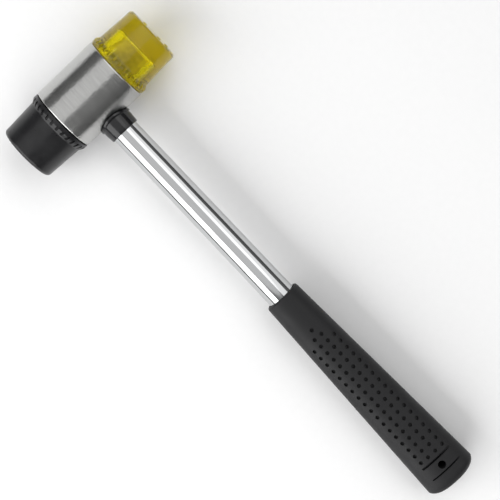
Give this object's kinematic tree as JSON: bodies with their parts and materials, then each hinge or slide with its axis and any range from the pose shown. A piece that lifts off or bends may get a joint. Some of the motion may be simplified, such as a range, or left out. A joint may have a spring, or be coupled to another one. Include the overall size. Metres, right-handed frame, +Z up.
{
  "type": "dead blow mallet",
  "caption": "Two-way soft-face dead blow mallet with a clear amber face, a black rubber face, a steel head sleeve, a chromed tube handle and an oval dimpled rubber grip.",
  "frame": {"origin": "on the surface that the mallet lies on, under the middle of its length and of its head", "axes": "+X runs along the handle from the head to the butt, +Y runs along the head's axis to the amber face, +Z is up; the handle slopes down by about 1.5 degrees until the butt touches the surface"},
  "size_m": [0.2834, 0.087, 0.035],
  "materials": {
    "satin_steel": "turned steel with a fine grain around the head",
    "chrome": "bright chrome plate",
    "plain_steel": "turned, unplated",
    "shot_steel": "smooth bearing-type balls",
    "amber_plastic": "clear amber, moulded, glossy",
    "black_rubber": "satin moulded rubber",
    "black_plastic": "glossy moulded plastic",
    "grip_rubber": "matt moulded rubber",
    "seal_rubber": "smooth seal rubber",
    "white_plastic": "plain moulded plastic"
  },
  "bodies": {
    "head_and_handle": {"head_sleeve": "satin_steel", "shot_canister_tube": "white_plastic", "shot_canister_cap_amber_side": "white_plastic", "shot_canister_cap_rubber_side": "white_plastic", "handle_spigot": "plain_steel", "handle_cross_pin": "plain_steel", "handle_tube": "chrome", "handle_ferrule": "black_plastic", "handle_grip": "grip_rubber"},
    "shot_charge": {"shot_ball_1": "shot_steel", "shot_ball_2": "shot_steel", "shot_ball_3": "shot_steel", "shot_ball_4": "shot_steel", "shot_ball_5": "shot_steel", "shot_ball_6": "shot_steel", "shot_ball_7": "shot_steel", "shot_ball_8": "shot_steel", "shot_ball_9": "shot_steel", "shot_ball_10": "shot_steel", "shot_ball_11": "shot_steel", "shot_ball_12": "shot_steel", "shot_ball_13": "shot_steel", "shot_ball_14": "shot_steel", "shot_ball_15": "shot_steel", "shot_ball_16": "shot_steel", "shot_ball_17": "shot_steel", "shot_ball_18": "shot_steel"},
    "amber_face_carrier": {"amber_face_seal_ring": "seal_rubber"},
    "amber_face_screw": {"amber_face": "amber_plastic"},
    "rubber_face_carrier": {"rubber_face_seal_ring": "seal_rubber"},
    "rubber_face_screw": {"rubber_face": "black_rubber", "rubber_face_insert": "plain_steel"}
  },
  "joints": [
    {"name": "shot_slide", "type": "slide", "parent": "head_and_handle", "child": "shot_charge", "axis": [0, 1, 0], "range_m": [-0.0025, 0.0025]},
    {"name": "amber_face_travel", "type": "slide", "parent": "head_and_handle", "child": "amber_face_carrier", "axis": [0, 1, 0], "range_m": [0, 0.01]},
    {"name": "amber_face_turn", "type": "hinge", "parent": "amber_face_carrier", "child": "amber_face_screw", "pos_m": [-0.1242, 0, 0.0175], "axis": [0, 1, 0], "range_deg": [0, 1440]},
    {"name": "rubber_face_travel", "type": "slide", "parent": "head_and_handle", "child": "rubber_face_carrier", "axis": [0, -1, 0], "range_m": [0, 0.01]},
    {"name": "rubber_face_turn", "type": "hinge", "parent": "rubber_face_carrier", "child": "rubber_face_screw", "pos_m": [-0.1242, 0, 0.0175], "axis": [0, -1, 0], "range_deg": [0, 1440]}
  ],
  "couplings": [
    {"joint": "amber_face_travel", "follows": "amber_face_turn", "m_per_rad": 0.00039789},
    {"joint": "rubber_face_travel", "follows": "rubber_face_turn", "m_per_rad": 0.00039789}
  ]
}
